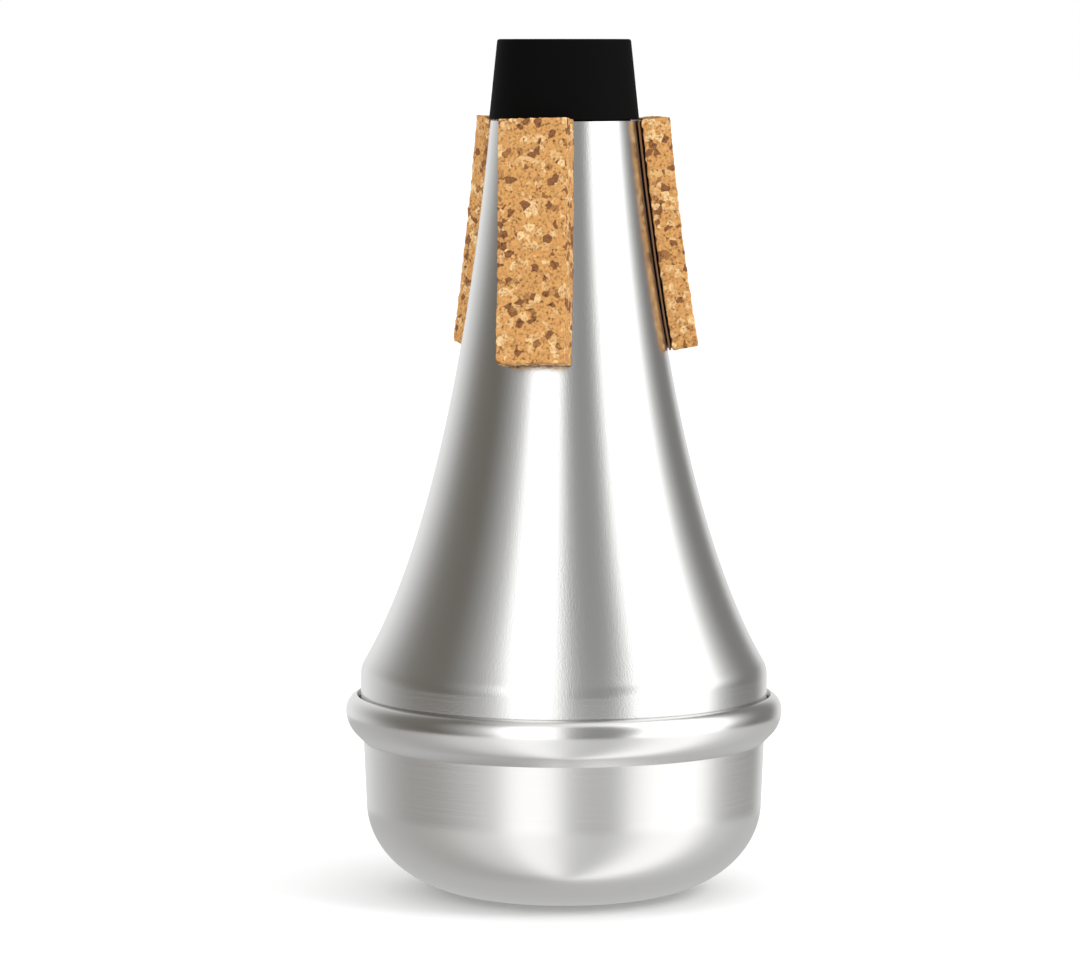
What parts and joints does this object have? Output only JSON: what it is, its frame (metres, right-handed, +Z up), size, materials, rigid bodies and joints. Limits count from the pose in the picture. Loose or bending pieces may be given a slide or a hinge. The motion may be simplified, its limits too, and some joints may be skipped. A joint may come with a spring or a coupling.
{
  "type": "trumpet mute",
  "caption": "Straight mute: flared spun aluminium cone with a rounded closed base cup, a black open tip collar and cork strips along the neck.",
  "frame": {"origin": "centre of the base cup's flat foot, at the middle of the bounding box's bottom", "axes": "+Z up the mute's axis from the closed base to the open tip, -Y out through the front cork strip"},
  "size_m": [0.082, 0.082, 0.16],
  "materials": {
    "satin_aluminium": "satin, turned on a lathe, with fine sparkle",
    "black_collar": "matte",
    "cork": "cut agglomerated cork",
    "brown_glue": "dried contact glue"
  },
  "bodies": {
    "root": {"cone_shell": "satin_aluminium", "base_cup": "satin_aluminium", "tip_collar": "black_collar", "cork_strip_front": "cork", "cork_strip_right": "cork", "cork_strip_left": "cork", "glue_bed_front": "brown_glue", "glue_bed_right": "brown_glue", "glue_bed_left": "brown_glue"}
  },
  "joints": []
}
